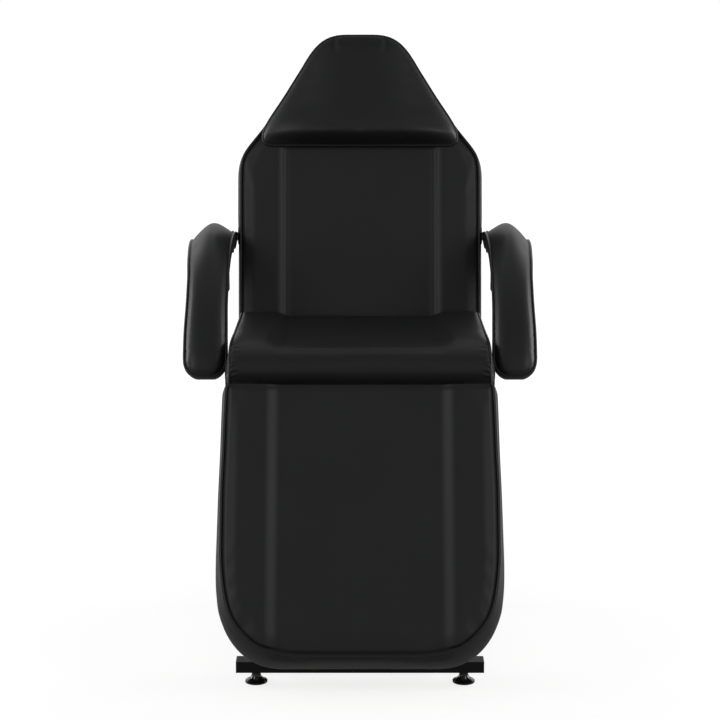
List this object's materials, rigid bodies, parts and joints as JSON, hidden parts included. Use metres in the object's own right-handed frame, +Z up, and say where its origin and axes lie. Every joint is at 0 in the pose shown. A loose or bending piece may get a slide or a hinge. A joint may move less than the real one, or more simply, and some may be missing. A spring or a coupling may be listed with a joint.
{
  "type": "beauty chair",
  "caption": "Free-standing padded beauty chair with reclining backrest, lifting legrest, drooping armrests, head pillow and steel base on levelling feet.",
  "frame": {"origin": "on the floor, midway across, near the middle of the floor frame", "axes": "+Z up, the chair faces -Y, +X to the right as seen from the front"},
  "size_m": [0.7998, 1.0431, 1.347],
  "materials": {
    "upholstery": "smooth black faux leather, semi-matt",
    "plywood": "raw birch plywood",
    "frame_paint": "satin black powder coat",
    "zinc_steel": "bright zinc plate",
    "rod_steel": "dark zinc plate",
    "foot_plastic": "gloss black moulded plastic",
    "cap_plastic": "matt black moulded plastic",
    "strap_web": "black woven elastic"
  },
  "bodies": {
    "base": {"front_floor_bar": "frame_paint", "rear_floor_bar": "frame_paint", "floor_bar_caps": "cap_plastic", "foot_nuts": "zinc_steel", "left_floor_rail": "frame_paint", "right_floor_rail": "frame_paint", "left_front_post": "frame_paint", "right_front_post": "frame_paint", "left_rear_post": "frame_paint", "right_rear_post": "frame_paint", "left_seat_rail": "frame_paint", "right_seat_rail": "frame_paint", "front_seat_bearer": "frame_paint", "rear_seat_bearer": "frame_paint", "seat_board": "plywood", "seat_screws": "zinc_steel", "seat_cushion": "upholstery", "left_back_hinge_plate": "frame_paint", "right_back_hinge_plate": "frame_paint", "left_leg_hinge_plate": "frame_paint", "right_leg_hinge_plate": "frame_paint", "hinge_bolts": "zinc_steel", "arm_link_tube": "frame_paint", "arm_link_pins": "zinc_steel"},
    "backrest": {"left_back_arm": "frame_paint", "right_back_arm": "frame_paint", "lower_back_tube": "frame_paint", "upper_back_tube": "frame_paint", "backrest_screws": "zinc_steel", "backrest_board": "plywood", "backrest_cushion": "upholstery", "left_armrest_bracket": "frame_paint", "right_armrest_bracket": "frame_paint", "armrest_bolts": "zinc_steel"},
    "legrest": {"left_leg_arm": "frame_paint", "right_leg_arm": "frame_paint", "upper_leg_tube": "frame_paint", "lower_leg_tube": "frame_paint", "legrest_screws": "zinc_steel", "legrest_board": "plywood", "legrest_cushion": "upholstery"},
    "head_pillow": {"head_pillow": "upholstery", "pillow_strap": "strap_web"},
    "back_release": {"back_release_rod": "rod_steel", "back_pawls": "zinc_steel"},
    "leg_release": {"leg_release_rod": "rod_steel", "leg_pawls": "zinc_steel"},
    "left_armrest": {"left_armrest_pad": "upholstery", "left_armrest_board": "plywood", "left_armrest_bar": "frame_paint"},
    "left_arm_link": {"left_arm_link": "frame_paint"},
    "right_armrest": {"right_armrest_pad": "upholstery", "right_armrest_board": "plywood", "right_armrest_bar": "frame_paint"},
    "right_arm_link": {"right_arm_link": "frame_paint"},
    "front_left_foot": {"front_left_foot": "foot_plastic"},
    "front_right_foot": {"front_right_foot": "foot_plastic"},
    "rear_left_foot": {"rear_left_foot": "foot_plastic"},
    "rear_right_foot": {"rear_right_foot": "foot_plastic"}
  },
  "joints": [
    {"name": "backrest_recline", "type": "hinge", "parent": "base", "child": "backrest", "pos_m": [0, 0.293, 0.622], "axis": [-1, 0, 0], "range_deg": [0, 75]},
    {"name": "legrest_lift", "type": "hinge", "parent": "base", "child": "legrest", "pos_m": [0, -0.255, 0.632], "axis": [-1, 0, 0], "range_deg": [0, 65]},
    {"name": "head_pillow_lift", "type": "slide", "parent": "backrest", "child": "head_pillow", "axis": [0, 0.2588, 0.9659], "range_m": [0, 0.3]},
    {"name": "back_release_turn", "type": "hinge", "parent": "base", "child": "back_release", "pos_m": [0, 0.31061, 0.56368], "axis": [1, 0, 0], "range_deg": [0, 11]},
    {"name": "leg_release_turn", "type": "hinge", "parent": "base", "child": "leg_release", "pos_m": [0, -0.21732, 0.58412], "axis": [-1, 0, 0], "range_deg": [0, 11]},
    {"name": "left_armrest_pivot", "type": "hinge", "parent": "backrest", "child": "left_armrest", "pos_m": [0, 0.3071, 0.88325], "axis": [-1, 0, 0], "range_deg": [-75, 0]},
    {"name": "left_arm_link_pivot", "type": "hinge", "parent": "base", "child": "left_arm_link", "pos_m": [0, 0.188, 0.523], "axis": [-1, 0, 0], "range_deg": [0, 75]},
    {"name": "right_armrest_pivot", "type": "hinge", "parent": "backrest", "child": "right_armrest", "pos_m": [0, 0.3071, 0.88325], "axis": [-1, 0, 0], "range_deg": [-75, 0]},
    {"name": "right_arm_link_pivot", "type": "hinge", "parent": "base", "child": "right_arm_link", "pos_m": [0, 0.188, 0.523], "axis": [-1, 0, 0], "range_deg": [0, 75]},
    {"name": "front_left_foot_screw", "type": "slide", "parent": "base", "child": "front_left_foot", "axis": [0, 0, 1], "range_m": [-0.012, 0.002]},
    {"name": "front_right_foot_screw", "type": "slide", "parent": "base", "child": "front_right_foot", "axis": [0, 0, 1], "range_m": [-0.012, 0.002]},
    {"name": "rear_left_foot_screw", "type": "slide", "parent": "base", "child": "rear_left_foot", "axis": [0, 0, 1], "range_m": [-0.012, 0.002]},
    {"name": "rear_right_foot_screw", "type": "slide", "parent": "base", "child": "rear_right_foot", "axis": [0, 0, 1], "range_m": [-0.012, 0.002]}
  ],
  "couplings": [
    {"joint": "left_armrest_pivot", "follows": "backrest_recline", "ratio": -1},
    {"joint": "left_arm_link_pivot", "follows": "backrest_recline", "ratio": 1},
    {"joint": "right_armrest_pivot", "follows": "backrest_recline", "ratio": -1},
    {"joint": "right_arm_link_pivot", "follows": "backrest_recline", "ratio": 1}
  ]
}
